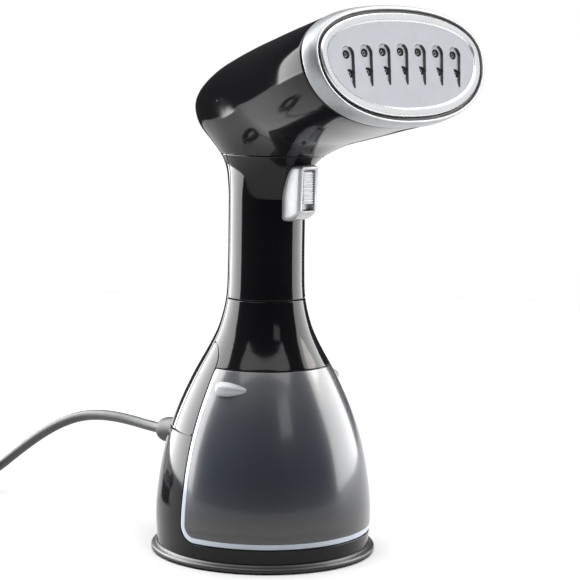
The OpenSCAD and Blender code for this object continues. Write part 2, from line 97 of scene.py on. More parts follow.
def smooth_table(table, at):
    """Catmull-Rom through the table's rows; its first column is the place along it."""
    x = np.clip(at, table[0, 0], table[-1, 0])
    i = np.clip(np.searchsorted(table[:, 0], x) - 1, 0, len(table) - 2)
    t = ((x - table[i, 0]) / (table[i + 1, 0] - table[i, 0]))[..., None]
    p0, p1 = table[np.maximum(i - 1, 0), 1:], table[i, 1:]
    p2, p3 = table[i + 1, 1:], table[np.minimum(i + 2, len(table) - 1), 1:]
    d = table[i + 1, 0] - table[i, 0]
    d0 = table[i + 1, 0] - table[np.maximum(i - 1, 0), 0]
    d1 = table[np.minimum(i + 2, len(table) - 1), 0] - table[i, 0]
    m1 = (p2 - p0) * (d / d0)[..., None]
    m2 = (p3 - p1) * (d / d1)[..., None]
    return ((2 * t**3 - 3 * t**2 + 1) * p1 + (t**3 - 2 * t**2 + t) * m1
            + (-2 * t**3 + 3 * t**2) * p2 + (t**3 - t**2) * m2)


def bell_r(z):
    """Radius of the bell and grip at height z."""
    return smooth_table(BELL, np.asarray(z, float))[..., 0]


def oval(s, square=SQUARE):
    """Squares up a sine or cosine, so that a circle becomes a squarish oval."""
    return np.sign(s) * np.abs(s) ** (2 / square)


def head_field(p):
    """Below zero inside the head."""
    q = p - PLATE
    depth, v, u = -(q @ NORMAL), q @ UP, q[..., 0]
    a, top, bottom, mid = np.moveaxis(smooth_table(HEAD, depth), -1, 0)
    b = np.where(v > mid, top - mid, mid - bottom)
    r = ((np.abs(u) / a) ** SQUARE + (np.abs(v - mid) / b) ** SQUARE) ** (1 / SQUARE)
    tip = np.maximum(depth - HEAD_DEPTH, 0) * 3
    return (r - 1) * np.minimum(a, b) + tip


def stem_field(p):
    """Below zero inside the stem, which ends inside the head."""
    s = smooth_table(STEM, p[..., 2])
    a, b, yc = s[..., 0], s[..., 1], s[..., 2]
    r = np.sqrt((p[..., 0] / a) ** 2 + ((p[..., 1] - yc) / b) ** 2)
    return (r - 1) * np.minimum(a, b) + np.maximum(p[..., 2] - STEM_TOP, 0)


def field(p, blend=16.0):
    """Below zero inside the head and stem, which run together over about blend mm."""
    f, g = head_field(p), stem_field(p)
    h = np.clip(0.5 + 0.5 * (g - f) / blend, 0, 1)
    return g * (1 - h) + f * h - blend * h * (1 - h)


def cast(start, way, reach):
    """Distance from start along way to the field's zero: steps outward, then halves the step it lies in."""
    nearest = 2.0
    steps = np.linspace(nearest, reach, 90)
    lo = np.full(way.shape[:-1], nearest)
    hi = np.full(way.shape[:-1], float(reach))
    found = np.zeros(way.shape[:-1], bool)
    for k in range(1, len(steps)):
        out = field(start + way * steps[k]) > 0
        new = out & ~found
        lo[new], hi[new] = steps[k - 1], steps[k]
        found |= out
    for _ in range(22):
        mid = 0.5 * (lo + hi)
        out = field(start + way * mid[..., None]) > 0
        hi, lo = np.where(out, mid, hi), np.where(out, lo, mid)
    return 0.5 * (lo + hi)


def compass(deg):
    """Unit vectors round the handle: 0 is the front, 90 the camera's side (-X)."""
    a = np.radians(deg)
    return np.stack([-np.sin(a), -np.cos(a), np.zeros_like(a)], -1)


def skin_point(deg, z):
    """Points on the outer surface at these bearings and heights."""
    deg, z = np.broadcast_arrays(np.asarray(deg, float), np.asarray(z, float))
    way = compass(deg)
    r = bell_r(z)
    high = z > FLARE_Z
    if high.any():
        start = np.zeros(way[high].shape)
        start[..., 2] = z[high]
        r = r.copy()
        r[high] = cast(start, way[high], 110)
    p = way * r[..., None]
    p[..., 2] = z
    return p


# ------------------------------------------ mesh helpers
def new_object(name, verts, faces):
    """A smooth-shaded mesh object from points in mm."""
    mesh = bpy.data.meshes.new(name)
    mesh.from_pydata([tuple(v) for v in np.asarray(verts, float) * MM], [], [tuple(f) for f in faces])
    mesh.validate()
    mesh.update()
    obj = bpy.data.objects.new(name, mesh)
    bpy.context.scene.collection.objects.link(obj)
    mesh.shade_smooth()
    return obj


def grid_faces(rows, cols, wrap=False, first=0):
    """Quads over a grid of points that starts at index first; wrap joins the last column to the first."""
    last = cols if wrap else cols - 1
    return [(first + i * cols + j, first + i * cols + (j + 1) % cols,
             first + (i + 1) * cols + (j + 1) % cols, first + (i + 1) * cols + j)
            for i in range(rows - 1) for j in range(last)]


def border(rows, cols):
    """Indices round the edge of a grid."""
    edge = list(range(cols)) + [i * cols + cols - 1 for i in range(1, rows)]
    edge += [(rows - 1) * cols + i for i in range(cols - 2, -1, -1)]
    return edge + [i * cols for i in range(rows - 2, 0, -1)]


def slab_faces(rows, cols, first=0):
    """Faces of a closed slab: a grid of outer points, one of inner points, and the edge between them."""
    n = rows * cols
    faces = grid_faces(rows, cols, first=first)
    faces += [f[::-1] for f in grid_faces(rows, cols, first=first + n)]
    edge = border(rows, cols)
    for here, after in zip(edge, edge[1:] + edge[:1]):
        faces.append((first + here, first + n + here, first + n + after, first + after))
    return faces


def clean(obj, sharp=35):
    """Merges doubles, turns the faces outward and marks edges that are sharper than this many degrees."""
    bm = bmesh.new()
    bm.from_mesh(obj.data)
    bmesh.ops.remove_doubles(bm, verts=bm.verts, dist=0.02 * MM)
    bmesh.ops.recalc_face_normals(bm, faces=bm.faces)
    limit = math.radians(sharp)
    for e in bm.edges:
        if len(e.link_faces) == 2 and e.calc_face_angle() > limit:
            e.smooth = False
    bm.to_mesh(obj.data)
    bm.free()
    return obj


def shell(name, patches, thick=WALL, roll=0.45):
    """One shell from patches of outer points (rows, cols, 3): each gets rounded edges and a thickness."""
    verts, faces = [], []
    for pts in patches:
        rows, cols = pts.shape[:2]
        normal = np.cross(np.gradient(pts, axis=1), np.gradient(pts, axis=0))
        normal /= np.maximum(np.linalg.norm(normal, axis=-1, keepdims=True), 1e-9)
        mid = pts.reshape(-1, 3).mean(0)
        if ((pts - mid) * normal).sum() < 0:
            normal = -normal
        drop = np.zeros((rows, cols))
        for axis in (0, 1):
            step = np.linalg.norm(np.diff(pts, axis=axis), axis=-1)
            along = np.concatenate([np.zeros_like(np.take(step, [0], axis)), np.cumsum(step, axis)], axis)
            end = np.take(along, [-1], axis)
            near = np.minimum(along, end - along)
            t = np.clip(1 - near / roll, 0, 1)
            drop = np.maximum(drop, roll * (1 - np.sqrt(np.maximum(1 - t * t, 0))))
        outer = pts - normal * drop[..., None]
        inner = pts - normal * thick
        faces += slab_faces(rows, cols, first=len(verts))
        verts += list(outer.reshape(-1, 3)) + list(inner.reshape(-1, 3))
    return clean(new_object(name, verts, faces), sharp=50)


def spread(a, b, n, fine=0.5):
    """n places from a to b with a few extra close to both ends, for the rounded edges."""
    size = abs(b - a)
    ends = np.array([0, 0.12, 0.3, 0.6, 1.0]) * min(fine, size / 4) / size
    inner = np.linspace(ends[-1], 1 - ends[-1], n)
    t = np.concatenate([ends[:-1], inner, 1 - ends[:-1][::-1]])
    return a + (b - a) * t


def patch(z_list, left, right, cols):
    """Outer points between two bearings that may change with height."""
    rows = []
    for z in z_list:
        a, b = left(z), right(z)
        width = math.radians(abs(b - a)) * float(bell_r(min(z, FLARE_Z)))
        if width < 4:
            bearings = spread(a, b, cols, width / 8)
        else:
            bearings = a + (b - a) * spread(0, 1, cols, 0.5 / width)
        rows.append(skin_point(bearings, z))
    return np.array(rows)


# ------------------------------------------ materials
def material(name, colour, rough, metal=0.0, **sockets):
    """A principled material; further sockets are named with _ for each space."""
    mat = bpy.data.materials.new(name)
    mat.use_nodes = True
    shader = mat.node_tree.nodes["Principled BSDF"]
    shader.inputs["Base Color"].default_value = (*colour, 1)
    shader.inputs["Roughness"].default_value = rough
    shader.inputs["Metallic"].default_value = metal
    for k, v in sockets.items():
        shader.inputs[k.replace("_", " ")].default_value = v
    return mat, mat.node_tree, shader


def noise(tree, scale, detail=3.0, stretch=(1, 1, 1)):
    """Soft noise in object coordinates."""
    coord = tree.nodes.new("ShaderNodeTexCoord")
    mapping = tree.nodes.new("ShaderNodeMapping")
    mapping.inputs["Scale"].default_value = stretch
    tex = tree.nodes.new("ShaderNodeTexNoise")
    tex.inputs["Scale"].default_value = scale
    tex.inputs["Detail"].default_value = detail
    tree.links.new(coord.outputs["Object"], mapping.inputs["Vector"])
    tree.links.new(mapping.outputs["Vector"], tex.inputs["Vector"])
    return tex.outputs["Fac"]


def ramp(tree, source, low, high):
    """Turns a value into a colour between low and high."""
    node = tree.nodes.new("ShaderNodeValToRGB")
    for stop, at, colour in zip(node.color_ramp.elements, (0.3, 0.7), (low, high)):
        stop.position = at
        stop.color = (*colour, 1)
    tree.links.new(source, node.inputs["Fac"])
    return node.outputs["Color"]


def spread_value(tree, source, low, high):
    """Maps 0 to 1 onto low to high."""
    node = tree.nodes.new("ShaderNodeMapRange")
    node.inputs["To Min"].default_value = low
    node.inputs["To Max"].default_value = high
    tree.links.new(source, node.inputs["Value"])
    return node.outputs["Result"]


def bump(tree, shader, source, strength, distance):
    """Fine relief, distance in metres."""
    node = tree.nodes.new("ShaderNodeBump")
    node.inputs["Strength"].default_value = strength
    node.inputs["Distance"].default_value = distance
    tree.links.new(source, node.inputs["Height"])
    tree.links.new(node.outputs["Normal"], shader.inputs["Normal"])


def make(name, colour, rough, vary, scale, grain=None, **sockets):
    """A principled material whose colour and roughness vary softly, with an optional fine grain."""
    mat, tree, shader = material(name, colour, rough, **sockets)
    soft = noise(tree, scale)
    low = tuple(c * (1 - vary) for c in colour)
    high = tuple(min(1, c * (1 + vary)) for c in colour)
    tree.links.new(ramp(tree, soft, low, high), shader.inputs["Base Color"])
    patchy = noise(tree, scale * 2.3, 4)
    tree.links.new(spread_value(tree, patchy, rough * 0.8, rough * 1.2), shader.inputs["Roughness"])
    if grain:
        grain_scale, strength, depth = grain
        bump(tree, shader, noise(tree, grain_scale, 2), strength, depth)
    return mat


# colour, roughness, how much they vary, the scale of that, grain (scale, strength, depth in m), other sockets
FINISHES = {
    "gloss_black": ((0.004, 0.004, 0.005), 0.09, 0.1, 30, (900, 0.03, 0.00005), {"Specular_IOR_Level": 0.22}),
    "satin_black": ((0.008, 0.008, 0.008), 0.38, 0.2, 60, (1600, 0.25, 0.0001), {}),
    "silver_paint": ((0.30, 0.31, 0.32), 0.38, 0.05, 300, (2600, 0.18, 0.00008), {"metal": 0.55}),
    "switch_silver": ((0.42, 0.43, 0.44), 0.34, 0.05, 300, (2600, 0.15, 0.00008), {"metal": 0.4}),
    "polished_plate": ((0.80, 0.81, 0.83), 0.27, 0.03, 80, (700, 0.05, 0.00006), {"metal": 0.9}),
    "plate_field": ((0.60, 0.62, 0.66), 0.34, 0.03, 120, (2200, 0.2, 0.00006), {"metal": 0.75}),
    "silicone_black": ((0.01, 0.01, 0.01), 0.55, 0.2, 90, (1500, 0.3, 0.0001), {}),
    "cord_black": ((0.035, 0.036, 0.038), 0.42, 0.15, 80, (1800, 0.3, 0.0001), {}),
    "cast_alloy": ((0.5, 0.5, 0.52), 0.5, 0.1, 90, (800, 0.4, 0.0002), {"metal": 0.9}),
    "heater_steel": ((0.25, 0.2, 0.17), 0.4, 0.3, 60, (900, 0.2, 0.0001), {"metal": 0.9}),
    "ceramic_white": ((0.78, 0.74, 0.66), 0.5, 0.08, 100, (900, 0.2, 0.0001), {}),
    "board_green": ((0.02, 0.16, 0.07), 0.35, 0.3, 220, (700, 0.2, 0.0001), {}),
    "clear_tube": ((0.72, 0.72, 0.68), 0.3, 0.05, 60, (500, 0.1, 0.0001), {}),
    "wire_blue": ((0.05, 0.08, 0.35), 0.4, 0.1, 80, (800, 0.2, 0.0001), {}),
    "screw_steel": ((0.55, 0.55, 0.56), 0.3, 0.08, 200, (1500, 0.1, 0.00005), {"metal": 1.0}),
    "white_plastic": ((0.78, 0.78, 0.76), 0.4, 0.04, 70, (900, 0.15, 0.0001), {}),
    "copper_coil": ((0.4, 0.17, 0.06), 0.35, 0.2, 300, (1200, 0.4, 0.0002), {"metal": 0.8}),
    "red_seal": ((0.4, 0.04, 0.03), 0.5, 0.1, 90, (900, 0.2, 0.0001), {}),
    "blade_brass": ((0.75, 0.7, 0.55), 0.25, 0.06, 150, (1500, 0.1, 0.00005), {"metal": 1.0}),
    "clear_back": ((0.34, 0.38, 0.43), 0.14, 0.08, 40, (500, 0.05, 0.0001),
                   {"Coat_Weight": 0.6, "Coat_Roughness": 0.05}),
    "smoke_tab": ((0.30, 0.31, 0.33), 0.25, 0.08, 70, (700, 0.1, 0.0001), {"Coat_Weight": 0.4}),
    # painted shade: this near-black finish goes on the plate's left-facing slot walls and steam hole recesses
    "slot_painted_shade": ((0.012, 0.012, 0.013), 0.4, 0.2, 300, (1500, 0.2, 0.0001), {}),
    "floor": ((0.9, 0.9, 0.9), 0.6, 0.01, 3, None, {}),
}
MATS = {name: make(name, *values, **sockets) for name, (*values, sockets) in FINISHES.items()}
# height along the tank (0 to 1) and the smoked plastic's colour there: painted light and shade in place of
# the plastic's translucency, lightest at the top
TANK_PAINTED_SHADING = [(0.03, (0.030, 0.030, 0.032)), (0.075, (0.034, 0.033, 0.033)), (0.10, (0.020, 0.021, 0.023)),
              (0.13, (0.030, 0.029, 0.029)), (0.20, (0.020, 0.021, 0.025)), (0.27, (0.024, 0.027, 0.034)),
              (0.45, (0.024, 0.028, 0.036)), (0.75, (0.034, 0.038, 0.046)), (0.93, (0.050, 0.052, 0.056)),
              (1.0, (0.050, 0.052, 0.056))]


def smoke_tank():
    """Smoked plastic, painted opaque, whose tint changes with height: painted light and shade in place of the
    plastic's translucency.
    """
    mat, tree, shader = material("smoke_tank", (0.05, 0.05, 0.055), 0.2)
    coord = tree.nodes.new("ShaderNodeTexCoord")
    split = tree.nodes.new("ShaderNodeSeparateXYZ")
    tree.links.new(coord.outputs["Object"], split.inputs["Vector"])
    height = tree.nodes.new("ShaderNodeMapRange")
    height.inputs["From Min"].default_value = TANK_Z0 * MM
    height.inputs["From Max"].default_value = TANK_Z1 * MM
    tree.links.new(split.outputs["Z"], height.inputs["Value"])
    soft = tree.nodes.new("ShaderNodeMath")
    soft.operation = "MULTIPLY_ADD"
    soft.inputs[1].default_value = 0.05
    tree.links.new(noise(tree, 35, 3, (1, 1, 3)), soft.inputs[0])
    tree.links.new(height.outputs["Result"], soft.inputs[2])
    look = tree.nodes.new("ShaderNodeValToRGB")
    stops = look.color_ramp.elements
    stops[0].position = TANK_PAINTED_SHADING[0][0]
    stops[1].position = TANK_PAINTED_SHADING[-1][0]
    for at, _ in TANK_PAINTED_SHADING[1:-1]:
        stops.new(at)
    for stop, (_, tint) in zip(stops, TANK_PAINTED_SHADING):
        stop.color = (*tint, 1)
    tree.links.new(soft.outputs["Value"], look.inputs["Fac"])
    tree.links.new(look.outputs["Color"], shader.inputs["Base Color"])
    tree.links.new(spread_value(tree, noise(tree, 60, 3), 0.2, 0.28), shader.inputs["Roughness"])
    shader.inputs["Coat Weight"].default_value = 0.35
    shader.inputs["Coat Roughness"].default_value = 0.08
    bump(tree, shader, noise(tree, 400, 2), 0.05, 0.0001)
    return mat


MATS["smoke_tank"] = smoke_tank()


def paint(obj, mat):
    """Gives an object one material."""
    obj.data.materials.clear()
    obj.data.materials.append(MATS[mat])
    return obj


def place(obj, mat, body, *nodes):
    """Finish, body and the CAD nodes a piece stands for."""
    paint(obj, mat)
    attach(obj, body)
    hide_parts(*nodes)
    return obj


# ------------------------------------------ camera
AZ, EL, ROLL = -42.0, 7.0, -0.72  # degrees
LOOK_Z, FAR = 138.19, 1052.6  # height of the point looked at, and the distance to it
SENSOR, LENS, SHIFT = 36.0, 124.138, 0.041638  # sensor and lens in mm, shift in picture widths


def make_camera():
    """The scene's camera, rolled slightly about its line of sight."""
    az, el, roll = (math.radians(v) for v in (AZ, EL, ROLL))
    ahead = Vector((-math.sin(az) * math.cos(el), math.cos(az) * math.cos(el), -math.sin(el)))
    right = Vector((math.cos(az), math.sin(az), 0))
    up = right.cross(ahead)
    rolled_right = right * math.cos(roll) - up * math.sin(roll)
    rolled_up = up * math.cos(roll) + right * math.sin(roll)
    at = Vector((0, 0, LOOK_Z * MM)) - ahead * FAR * MM
    data = bpy.data.cameras.new("camera")
    data.sensor_width = SENSOR
    data.lens = LENS
    data.shift_x = SHIFT
    data.clip_end = 20
    cam = bpy.data.objects.new("camera", data)
    columns = Matrix((rolled_right, rolled_up, -ahead)).transposed()
    cam.matrix_world = Matrix.Translation(at) @ columns.to_4x4()
    bpy.context.scene.collection.objects.link(cam)
    bpy.context.scene.camera = cam


make_camera()

# ------------------------------------------ mains cord
ROUTE = [[0, 78, 51.8], [0, 88, 51], [-1, 98, 51.4], [-3, 110, 52.6], [-6, 122, 53.4], [-9, 134, 53],
         [-13, 146, 50.8], [-18, 157, 46], [-23, 167, 39.6], [-28, 176, 32.2], [-32, 185, 24.6],
         [-34.5, 194, 17.4], [-36, 204, 11.2], [-37, 215, 6.8], [-37, 224, 4.8], [-37, 233, 4.2]]
COIL = np.array([-80.0, 235.0, 4.2])
PLUG = np.array([-117.0, 227.0, 28.5])
CORD_D = 6.0
LANES = [43.2, 37.0, 30.8]  # radii of the three turns in each of the coil's layers
PITCH = 6.2  # distance between lanes and between layers
TURNS = 9.47
TURN_STEPS = 24
LANE_CHANGE = 0.25  # the last part of a turn, in which the cord moves to the next lane


def ease(t):
    """0 to 1, slowly at both ends."""
    t = min(max(t, 0), 1)
    return t * t * (3 - 2 * t)


def cord_points():
    """The free stretch, then nine and a half turns in three layers, then the rise into the plug."""
    points = [np.array(p, float) for p in ROUTE]
    for k in range(2, int(TURNS * TURN_STEPS) + 1):
        t = k / TURN_STEPS
        turn = min(int(t), 8)
        layer, lane = divmod(turn, 3)
        order = LANES if layer % 2 == 0 else LANES[::-1]
        shift = ease((t - turn - 1 + LANE_CHANGE) / LANE_CHANGE)
        r = order[lane] + ((order[lane + 1] - order[lane]) * shift if lane < 2 else 0)
        rise = PITCH * (layer + (shift if lane == 2 and layer < 2 else 0))
        if turn == 8:
            r = order[2] + (LANES[1] - order[2]) * ease((t - 9) / 0.45)
            rise += 6.9 * ease((t - 8.62) / 0.5)
        a = 2 * math.pi * t
        points.append(COIL + np.array([r * math.cos(a), r * math.sin(a), rise]))
    return points + [PLUG + np.array([0, 8.0, -4.2])]


def lathe(name, profile, origin, axis, sides):
    """Revolves (radius, distance along axis) about axis through origin."""
    axis = np.array(axis, float) / np.linalg.norm(axis)
    side = np.cross(axis, [1.0, 0.2, 0.1])
    side /= np.linalg.norm(side)
    other = np.cross(axis, side)
    origin = np.array(origin, float)
    rings = []
    for r, h in profile:
        turn = [2 * math.pi * k / sides for k in range(sides)]
        rings.append([origin + axis * h + r * (math.cos(a) * side + math.sin(a) * other) for a in turn])
    return rings_to_mesh(name, rings, sharp=40)


def rings_to_mesh(name, rings, capped=True, close=False, sharp=35):
    """Joins rings of equally many points; close runs the last ring on to the first, without end caps."""
    rings = [np.asarray(r, float) for r in rings]
    if close:
        rings.append(rings[0])
    n = len(rings[0])
    faces = grid_faces(len(rings), n, wrap=True)
    if capped and not close:
        faces.append(tuple(range(n))[::-1])
        faces.append(tuple(range((len(rings) - 1) * n, len(rings) * n)))
    return clean(new_object(name, np.concatenate(rings), faces), sharp=sharp)


def box_ring(w, h, radius, n=64):
    """Rounded rectangle, n points, in a flat frame of its own."""
    points = []
    per = n // 4
    for k, (sx, sy) in enumerate(((1, 1), (-1, 1), (-1, -1), (1, -1))):
        x, y = sx * (w / 2 - radius), sy * (h / 2 - radius)
        for i in range(per):
            a = math.pi / 2 * (k + i / (per - 1))
            points.append((x + radius * math.cos(a), y + radius * math.sin(a)))
    return np.array(points)


PLATE_MID = 3.5  # height of the soleplate's widest line above its centre


def egg(a, top, bottom, n=240):
    """Squarish oval, flatter below: half width, top and bottom."""
    q = np.linspace(0, 2 * math.pi, n, endpoint=False)
    c, s = oval(np.cos(q)), oval(np.sin(q))
    return np.stack([a * c, PLATE_MID + s * np.where(s > 0, top - PLATE_MID, PLATE_MID - bottom)], -1)


def on_plate(uv, out):
    """Plate coordinates (across, up) and height above the plate's face, to points."""
    uv = np.asarray(uv, float)
    out = np.broadcast_to(np.asarray(out, float), uv.shape[:-1])
    return PLATE + uv[..., :1] * ACROSS + uv[..., 1:] * UP + out[..., None] * NORMAL


# ------------------------------------------ head
def head_rows(first):
    """Rings of points from just behind the trim ring back to the tip."""
    behind = np.linspace(11, 140, 150)
    tip = np.linspace(141, HEAD_DEPTH - 0.1, 26)
    depth = np.concatenate([first + np.array([0, 0.1, 0.4, 0.9]), behind, tip])
    q = np.linspace(0, 2 * math.pi, 361)[:-1]
    way = np.cos(q)[:, None] * ACROSS + np.sin(q)[:, None] * UP
    rows = []
    for d in depth:
        mid = smooth_table(HEAD, np.array(d))[3]
        start = PLATE - NORMAL * d + UP * mid
        reach = cast(np.broadcast_to(start, way.shape), way, 75)
        rounding = 0.5 * (1 - min((d - first) / 0.9, 1)) ** 2
        rows.append(start + way * (reach - rounding)[:, None])
    return np.array(rows)


def build_head():
    """The head's skin, cut off at the seam, with a wall thickness."""
    rows = head_rows(9.3)
    n = rows.shape[1]
    faces = grid_faces(len(rows), n, wrap=True)
    faces.append(tuple(range((len(rows) - 1) * n, len(rows) * n)))
    obj = new_object("head_skin", rows.reshape(-1, 3), faces)
    seam = HEAD_Z + SEAM / 2
    bm = bmesh.new()
    bm.from_mesh(obj.data)
    bmesh.ops.bisect_plane(bm, geom=bm.verts[:] + bm.edges[:] + bm.faces[:], plane_co=(0, 0, seam * MM),
                           plane_no=(0, 0, -1), clear_outer=True)
    ring = [v for v in bm.verts if v.is_boundary and abs(v.co.z - seam * MM) < 1e-6]
    centre = np.array([0, -4.0])
    out = np.array([[v.co.x / MM, v.co.y / MM] for v in ring]) - centre
    out /= np.linalg.norm(out, axis=1, keepdims=True)
    start = np.tile([*centre, seam], (len(ring), 1))
    far = cast(start, np.concatenate([out, np.zeros((len(ring), 1))], 1), 80)
    for v, o, f in zip(ring, out, far):
        v.co.x, v.co.y = (centre + o * f) * MM
    bmesh.ops.recalc_face_normals(bm, faces=bm.faces)
    bm.to_mesh(obj.data)
    bm.free()
    thick = obj.modifiers.new("wall", "SOLIDIFY")
    thick.thickness = WALL * MM
    thick.offset = -1
    thick.use_even_offset = False
    return obj


place(build_head(), "gloss_black", "housing", "head_shell")

# ------------------------------------------ grip, covers, body and tank
def flank(z):
    """Bearing of the edge between front and rear: the tank's side, curving back to the rear cover."""
    t = np.clip((z - TANK_Z1) / (FLANK_Z - TANK_Z1), 0, 1)
    return 90 + (COVER_ANGLE - 90) * (1 - math.sqrt(max(1 - t * t, 0)))


def corner(z, radius, low):
    """How far, in mm, the tank's rounded bottom corner draws its side in."""
    h = min(max(radius - (z - low), 0), radius)
    return radius - math.sqrt(radius * radius - h * h)


def half_gap(z):
    """Half the seam, as a bearing."""
    return math.degrees(SEAM / 2 / float(bell_r(min(z, FLARE_Z))))


def shift_deg(mm, z):
    """A distance round the bell at height z, as a bearing."""
    return math.degrees(mm / float(bell_r(z)))


def cover_edge(z):
    """Bearing of the rear cover's edge."""
    return COVER_ANGLE + half_gap(z)


def grip_edge(z):
    """Bearing of the edge next to the rear cover."""
    return COVER_ANGLE - half_gap(z)


def neck_edge(z):
    """Bearing of the neck collar's edge."""
    return flank(z) - half_gap(z)


def mirrored(edge):
    """The same edge on the other side."""
    return lambda z: -edge(z)


def round_the_back(edge):
    """The same edge on the other side, counted on past 180."""
    return lambda z: 360 - edge(z)


z = spread(RING_Z + SEAM / 2, HEAD_Z - SEAM / 2, 70)
place(shell("handle_front_skin", [patch(z, mirrored(grip_edge), grip_edge, 130)]),
      "gloss_black", "housing", "handle_front")
z = spread(COVER_Z0 + SEAM / 2, HEAD_Z - SEAM / 2, 130)
place(shell("rear_cover_skin", [patch(z, cover_edge, round_the_back(cover_edge), 90)]),
      "gloss_black", "housing", "rear_cover")
z = spread(TANK_Z1 + SEAM / 2, RING_Z - SEAM / 2, 50)
place(shell("neck_skin", [patch(z, mirrored(neck_edge), neck_edge, 130)]),
      "gloss_black", "housing", "neck_collar")


def strip_edge(z):
    """Bearing of the body's front edge beside the tank and neck."""
    return flank(z) + half_gap(z)


def body_side(z):
    """The body's front edge: along the tank's side and round its bottom corner."""
    if z < TANK_Z0:
        return 90 - shift_deg(CORNER_R, TANK_Z0)
    return strip_edge(z) - shift_deg(corner(z, CORNER_R, TANK_Z0), z)


def build_body():
    """A band below the tank, the back, and a strip up each side to where the neck's edge meets the cover."""
    top = COVER_Z0 - SEAM / 2
    low_z = spread(BODY_Z0, TANK_Z0 - SEAM / 2, 12)
    round_corner = TANK_Z0 + np.array([0.1, 0.3, 0.6, 1, 1.6, 2.4, 3.4, 4.6, 6, 7.5, CORNER_R])
    back_z = np.concatenate([spread(BODY_Z0, TANK_Z0, 12), round_corner, spread(22, top, 40)])
    strip_z = np.concatenate([np.linspace(top, TANK_Z1, 26), np.linspace(TANK_Z1 + 0.5, FLANK_Z - 0.3, 22)])
    band = patch(low_z, lambda h: -body_side(0), lambda h: body_side(0), 120)
    back = patch(back_z, body_side, round_the_back(body_side), 160)
    left_strip = patch(strip_z, strip_edge, grip_edge, 14)
    right_strip = left_strip * np.array([-1.0, 1.0, 1.0])
    return shell("body_skin", [band, back, left_strip, right_strip], roll=0.3)


place(build_body(), "gloss_black", "housing", "body_shell")

RIM_W = 3.0
RIM_LOW = TANK_Z0 + SEAM


def tank_edge(inset, n=40):
    """The tank's outline (bearing, height) from its top left, round the bottom, to its top right."""
    side = []
    for h in np.linspace(TANK_Z1 - SEAM / 2, RIM_LOW + CORNER_R, 60):
        side.append((90 - shift_deg(SEAM / 2 + inset, h), h))
    radius = CORNER_R - inset
    for a in np.linspace(0, math.pi / 2, n)[1:]:
        h = RIM_LOW + CORNER_R - radius * math.sin(a)
        side.append((90 - shift_deg(SEAM / 2 + inset + radius * (1 - math.cos(a)), h), h))
    turn, low = side[-1]
    across = [(b, low) for b in np.linspace(turn, -turn, 90)[1:-1]]
    return np.array(side + across + [(-b, h) for b, h in side[::-1]])


def tank_half(z):
    """Bearing of the smoky front's edge, just inside the clear rim."""
    return 90 - shift_deg(SEAM / 2 + RIM_W + corner(z, 6, RIM_LOW + RIM_W), z)


strips = [tank_edge(w) for w in (0, 0.08, 0.2, 0.45, 1.0, 2.0, RIM_W - 0.2, RIM_W - 0.05)]
rim = np.array([skin_point(e[:, 0], e[:, 1]) for e in strips])
place(shell("tank_rim", [rim], thick=2.6), "clear_back", "tank", "tank_back")
low_corner = RIM_LOW + RIM_W + np.array([0, 0.05, 0.15, 0.35, 0.7, 1.2, 1.9, 2.8, 4, 5, 6])
tank_z = np.concatenate([low_corner, spread(RIM_LOW + RIM_W + 6.5, TANK_Z1 - SEAM / 2, 70)])
# the smoked front, top and floor carry painted light and shade that changes with height
place(shell("tank_skin", [patch(tank_z, mirrored(tank_half), tank_half, 150)], roll=0.2),
      "smoke_tank", "tank", "water_tank")


def wall(name, outline, at, axis, thick, edge=0.4):
    """A flat wall from at to at + thick along an axis; its outline is drawn in the two other axes."""
    outline = np.asarray(outline, float)
    mid = outline.mean(0)
    small = outline - edge * (outline - mid) / np.linalg.norm(outline - mid, axis=1, keepdims=True)
    rings = []
    for flat, h in ((small, 0), (outline, edge), (outline, thick - edge), (small, thick)):
        rings.append(np.insert(flat, axis, at + h, axis=1))
    return rings_to_mesh(name, rings)


def half_disc(r, y):
    """The part of a disc in front of y, seen from above."""
    a = np.linspace(-math.acos(-y / r), math.acos(-y / r), 60)
    return np.stack([r * np.sin(a), -r * np.cos(a)], -1)


def upright(low, high, y, inset, radius):
    """Outline, across and up, of a wall across the bell between two heights, with rounded lower corners."""
    turn = np.linspace(0.05, math.pi / 2, 14)
    zs = np.concatenate([low + radius * (1 - np.cos(turn)), np.linspace(low + radius + 1, high, 40)])
    half = np.sqrt(bell_r(zs) ** 2 - y * y) - inset
    draw = np.array([corner(h, radius, low) for h in zs])
    return np.concatenate([np.stack([half - draw, zs], -1), np.stack([draw - half, zs], -1)[::-1]])


SHELF = [(0.5, 9.4), (54.3, 9.4), (54.6, 9.8), (54.6, 11.2), (54.3, 11.6), (0.5, 11.6)]
place(wall("body_partition", upright(11.6, 104, 2.4, 2.4, 7), 0.4, 1, 2.0),
      "satin_black", "housing", "body_shell")
place(lathe("body_shelf", SHELF, ORIGIN, AXIS_Z, 120), "satin_black", "housing", "body_shell")
place(wall("tank_back_wall", upright(12.6, 99.3, 3.3, 0.9, 8.4), -3.3, 1, 1.9),
      "clear_back", "tank", "tank_back")
place(wall("tank_top", half_disc(float(bell_r(98)) - 2.2, -2.9), 97.4, 2, 2.2),
      "smoke_tank", "tank", "water_tank")
place(wall("tank_floor", half_disc(float(bell_r(14)) - 2.2, -2.9), 12.5, 2, 1.8),
      "smoke_tank", "tank", "water_tank")

# ------------------------------------------ base
FLANGE = [(52.5, 0.9), (58.2, 0.6), (59.0, 0.9), (59.4, 1.4), (59.4, 2.4), (59.1, 2.9), (58.2, 3.3),
          (57.0, 3.8), (56.7, 4.2), (56.2, 4.45), (52.5, 4.4)]
place(lathe("flange_skin", FLANGE, ORIGIN, AXIS_Z, 180), "satin_black", "housing", "base_flange")

